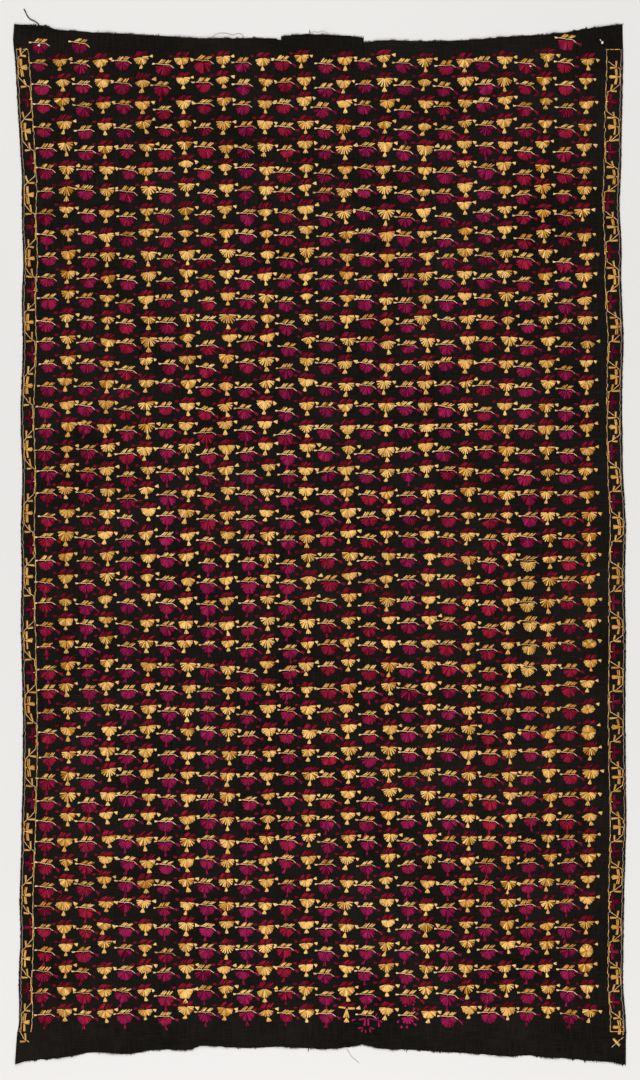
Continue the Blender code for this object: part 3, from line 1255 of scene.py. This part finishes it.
def panel_cloth(node, material):
    """One panel of cloth, laid out, with selvedges at its sides and cuts at its ends."""
    low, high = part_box(node)
    across = cell_places(high.x - low.x, CELL_ACROSS)
    along = cell_places(high.y - low.y, CELL_ALONG)
    bm = bmesh.new()
    bmesh.ops.create_grid(
        bm, x_segments=len(across) - 1, y_segments=len(along) - 1, size=0.5
    )
    flat = np.array([v.co for v in bm.verts])
    u = across[np.round((flat[:, 0] + 0.5) * (len(across) - 1)).astype(int)]
    v = along[np.round((flat[:, 1] + 0.5) * (len(along) - 1)).astype(int)]
    x, y = low.x + u * (high.x - low.x), low.y + v * (high.y - low.y)
    reach = SEAM_PARTING if node == PANELS[1] else 0.0
    for _ in range(4):   # a side's place and an end's place each depend on the other
        left, right = along_side(node, "left", y) - reach, along_side(node, "right", y) + reach
        x = left + u * (right - left)
        bottom, top = along_side(node, "bottom", x), along_side(node, "top", x)
        y = bottom + v * (top - bottom)
    for vert, place in zip(bm.verts, zip(x, y, cloth_face(x, y))):
        vert.co = place
    piece = add_piece("cloth_" + node, smooth_mesh("cloth_" + node, bm, material))
    wall = piece.modifiers.new("Thickness", "SOLIDIFY")
    wall.thickness = CLOTH_THICKNESS
    wall.offset = -1.0
    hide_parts(node)
    return piece


def declare_sheets():
    """Read the box of each panel's solid; nothing more is done with it."""
    for node in PANELS:
        low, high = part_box(node)


# ---------------------------------------------------------------------------------------
# Operators
# ---------------------------------------------------------------------------------------


class SHAWL_OT_cloth(bpy.types.Operator):
    """Lay out the three panels of black khaddar"""

    bl_idname = "shawl.cloth"
    bl_label = "Cloth panels"

    def execute(self, context):
        material = cotton_khaddar()
        for node in PANELS:
            panel_cloth(node, material)
        return {"FINISHED"}


class SHAWL_OT_seams(bpy.types.Operator):
    """Sew the panels together with whip stitches"""

    bl_idname = "shawl.seams"
    bl_label = "Seams"

    def execute(self, context):
        thread = cotton_thread("sewing_cotton_black", colours().cotton_deep, colours().cotton_worn)
        for side in ("left", "right"):
            skein = Skein(5)
            whip_seam(skein, side)
            skein.piece("seam_" + side, thread, stitch_shape((0.3, 0.7), True))
        return {"FINISHED"}


class SHAWL_OT_frayed_ends(bpy.types.Operator):
    """Fray the cut ends of the panels and roughen the outer selvedges"""

    bl_idname = "shawl.frayed_ends"
    bl_label = "Frayed ends and selvedges"

    def execute(self, context):
        thread = cotton_thread(
            "handspun_cotton_black", colours().cotton_deep, colours().cotton_worn
        )
        for side, way in (("top", 1), ("bottom", -1)):
            skein = Skein(6)
            for node in PANELS:
                fray_end(skein, node, side, way)
            skein.piece("fray_" + side, thread, stitch_shape((), False))
        for name, edge, way in (("left", left_edge, -1), ("right", right_edge, 1)):
            skein = Skein(16)
            selvedge_loops(skein, edge, way)
            skein.piece("fray_" + name, thread, stitch_shape((), False))
        return {"FINISHED"}


class SHAWL_OT_gold(bpy.types.Operator):
    """Embroider the gold cups, leaves and buds"""

    bl_idname = "shawl.gold"
    bl_label = "Gold cups and leaves"

    def execute(self, context):
        floss = silk_floss("silk_floss_gold", "gold", 0.05)
        shape = stitch_shape(FLOSS_WAISTS, True)
        cups, leaves = Skein(7, 0.12), Skein(8, 0.15)
        for motif in field():
            if motif.kind == "gold":
                gold_cup(cups, motif)
                gold_buds(leaves, motif)
            else:
                gold_leaves(leaves, motif)
                if motif.style == "gold":
                    cup(cups, motif, 15.6, 19.5, 14, 0.7, gold_tone(motif.x, motif.y))
        cups.piece("gold_cups", floss, shape)
        leaves.piece("gold_leaves", floss, shape)
        return {"FINISHED"}


class SHAWL_OT_magenta(bpy.types.Operator):
    """Embroider the magenta cups, stems and buds"""

    bl_idname = "shawl.magenta"
    bl_label = "Magenta cups"

    def execute(self, context):
        floss = silk_floss("silk_floss_magenta", "magenta")
        shape = stitch_shape(FLOSS_WAISTS, True)
        cups, buds = Skein(9, 0.12), Skein(10, 0.12)
        for motif in field():
            if motif.kind == "magenta" and motif.style != "gold":
                magenta_cup(cups, motif)
                if motif.bud and motif.style not in LOOSE_PETALS:
                    magenta_buds(buds, motif)
        cups.piece("magenta_cups", floss, shape)
        buds.piece("magenta_buds", floss, shape)
        return {"FINISHED"}


class SHAWL_OT_sprigs(bpy.types.Operator):
    """Embroider the dark red sprigs and the cream lines"""

    bl_idname = "shawl.sprigs"
    bl_label = "Red and cream sprigs"

    def execute(self, context):
        red = silk_floss("silk_floss_dark_red", "red")
        cream = silk_floss("silk_floss_cream", "cream")
        shape = stitch_shape(FLOSS_WAISTS, True)
        reds, creams = Skein(11, 0.30), Skein(12)
        for motif in field():
            if motif.kind == "magenta":
                cream_sprig(creams, motif)
            else:
                red_sprig(reds, motif)
        reds.piece("red_sprigs", red, shape)
        creams.piece("cream_sprigs", cream, shape)
        return {"FINISHED"}


class SHAWL_OT_borders(bpy.types.Operator):
    """Embroider the two side borders"""

    bl_idname = "shawl.borders"
    bl_label = "Side borders"

    def execute(self, context):
        shape = stitch_shape(FLOSS_WAISTS, True)
        skeins = {name: Skein(13, 0.12) for name in ("gold", "red", "cream", "dull")}
        for border in borders():
            border_gold(skeins["gold"], skeins["cream"], border)
            border_red(skeins["red"], skeins["cream"], border)
            border_lines(skeins["dull"], skeins["gold"], skeins["dull"], border)
        for name, skein in skeins.items():   # the red flowers are of the magenta floss
            dye = "magenta" if name == "red" else name
            floss = silk_floss("silk_floss_border_" + name, dye)
            skein.piece("border_" + name, floss, shape)
        return {"FINISHED"}


class SHAWL_OT_reverse(bpy.types.Operator):
    """Add the small stitches on the back of the cloth"""

    bl_idname = "shawl.reverse"
    bl_label = "Back of the embroidery"

    def execute(self, context):
        shape = stitch_shape((), False)
        width, depth = sizes().gold_half_width / MM, sizes().gold_depth / MM
        for kind in ("gold", "magenta"):
            floss = silk_floss("silk_floss_back_" + kind, kind)
            skein = Skein(14)
            for motif in field():
                if motif.kind == kind:
                    reverse_side(skein, motif, width, depth)
            skein.piece("reverse_" + kind, floss, shape, under=True)
        return {"FINISHED"}


class SHAWL_OT_loose_ends(bpy.types.Operator):
    """Add the loose threads and the cotton tufts"""

    bl_idname = "shawl.loose_ends"
    bl_label = "Loose threads and tufts"

    def execute(self, context):
        threads = {
            "black": cotton_thread(
                "loose_cotton_black", colours().cotton_deep, colours().cotton_worn
            ),
            "grey": cotton_thread(
                "loose_cotton_grey", colours().dull_deep, colours().dull_light
            ),
        }
        for name, material in threads.items():
            tubes = [thread_tube(t, points) for kind, t, points in LOOSE_THREADS if kind == name]
            add_piece("loose_threads_" + name, join_meshes(name, tubes, material))
        draw = random.Random(15)
        lint = cotton_thread("raw_cotton_white", colours().lint_deep, colours().lint)
        tufts = [tuft_mesh(*tuft, draw) for tuft in TUFTS]
        add_piece("white_tufts", join_meshes("white_tufts", tufts, lint))
        return {"FINISHED"}


CAMERA_PLACE = (0.0011, 0.0099, 6.6)
CAMERA_LENS = 100.0
FLOOR_REACH = 9.0
WORLD_LIGHT = 0.36
LAMP_SIZE = (2.4, 1.8)
LAMPS = (
    # name, place, power
    ("softbox_top_left", (-0.6, 3.6, 3.8), 134.0),
    ("softbox_right", (2.6, -0.4, 4.4), 26.0),
    ("softbox_bottom", (-0.4, -4.0, 3.8), 180.0),
)


class SHAWL_OT_stage(bpy.types.Operator):
    """Add the floor, the lights and the camera"""

    bl_idname = "shawl.stage"
    bl_label = "Floor, lights and camera"

    def execute(self, context):
        scene = context.scene
        bm = bmesh.new()
        bmesh.ops.create_grid(bm, x_segments=2, y_segments=2, size=FLOOR_REACH)
        mesh = bpy.data.meshes.new("floor")
        bm.to_mesh(mesh)
        bm.free()
        mesh.materials.append(floor_paper("backdrop_paper"))
        floor = bpy.data.objects.new("floor", mesh)
        scene.collection.objects.link(floor)
        world = bpy.data.worlds.new("studio")
        world.use_nodes = True
        background = world.node_tree.nodes["Background"]
        background.inputs["Color"].default_value = (1, 1, 1, 1)
        background.inputs["Strength"].default_value = WORLD_LIGHT
        scene.world = world
        for name, place, power in LAMPS:
            light = bpy.data.lights.new(name, "AREA")
            light.shape = "RECTANGLE"
            light.size, light.size_y = LAMP_SIZE
            light.energy = power
            lamp = bpy.data.objects.new(name, light)
            lamp.location = place
            lamp.rotation_euler = (-Vector(place)).to_track_quat("-Z", "Y").to_euler()
            scene.collection.objects.link(lamp)
        camera = bpy.data.cameras.new("camera")
        camera.sensor_width = 36.0
        camera.lens = CAMERA_LENS
        camera.clip_end = 100.0
        holder = bpy.data.objects.new("camera", camera)
        holder.location = CAMERA_PLACE
        scene.collection.objects.link(holder)
        scene.camera = holder
        scene.view_settings.view_transform = "Standard"
        return {"FINISHED"}


OPERATORS = (
    SHAWL_OT_cloth, SHAWL_OT_seams, SHAWL_OT_frayed_ends, SHAWL_OT_gold, SHAWL_OT_magenta,
    SHAWL_OT_sprigs, SHAWL_OT_borders, SHAWL_OT_reverse, SHAWL_OT_loose_ends, SHAWL_OT_stage,
)


class SHAWL_PT_panel(bpy.types.Panel):
    """Buttons, sizes and colours of the shawl"""

    bl_idname = "SHAWL_PT_panel"
    bl_label = "Phulkari shawl"
    bl_space_type = "VIEW_3D"
    bl_region_type = "UI"
    bl_category = "Shawl"

    def draw(self, context):
        for operator in OPERATORS:
            self.layout.operator(operator.bl_idname)
        for group in (context.scene.shawl_sizes, context.scene.shawl_colours):
            for name in group.__annotations__:
                self.layout.prop(group, name)


CLASSES = (ShawlColours, ShawlSizes, *OPERATORS, SHAWL_PT_panel)


def register():
    for cls in CLASSES:
        bpy.utils.register_class(cls)
    bpy.types.Scene.shawl_colours = bpy.props.PointerProperty(type=ShawlColours)
    bpy.types.Scene.shawl_sizes = bpy.props.PointerProperty(type=ShawlSizes)


def unregister():
    del bpy.types.Scene.shawl_sizes
    del bpy.types.Scene.shawl_colours
    for cls in reversed(CLASSES):
        bpy.utils.unregister_class(cls)


def main():
    """Dress the shawl, piece by piece."""
    register()
    for operator in OPERATORS:
        category, name = operator.bl_idname.split(".")
        getattr(getattr(bpy.ops, category), name)()
    declare_sheets()


if __name__ == "__main__":
    main()
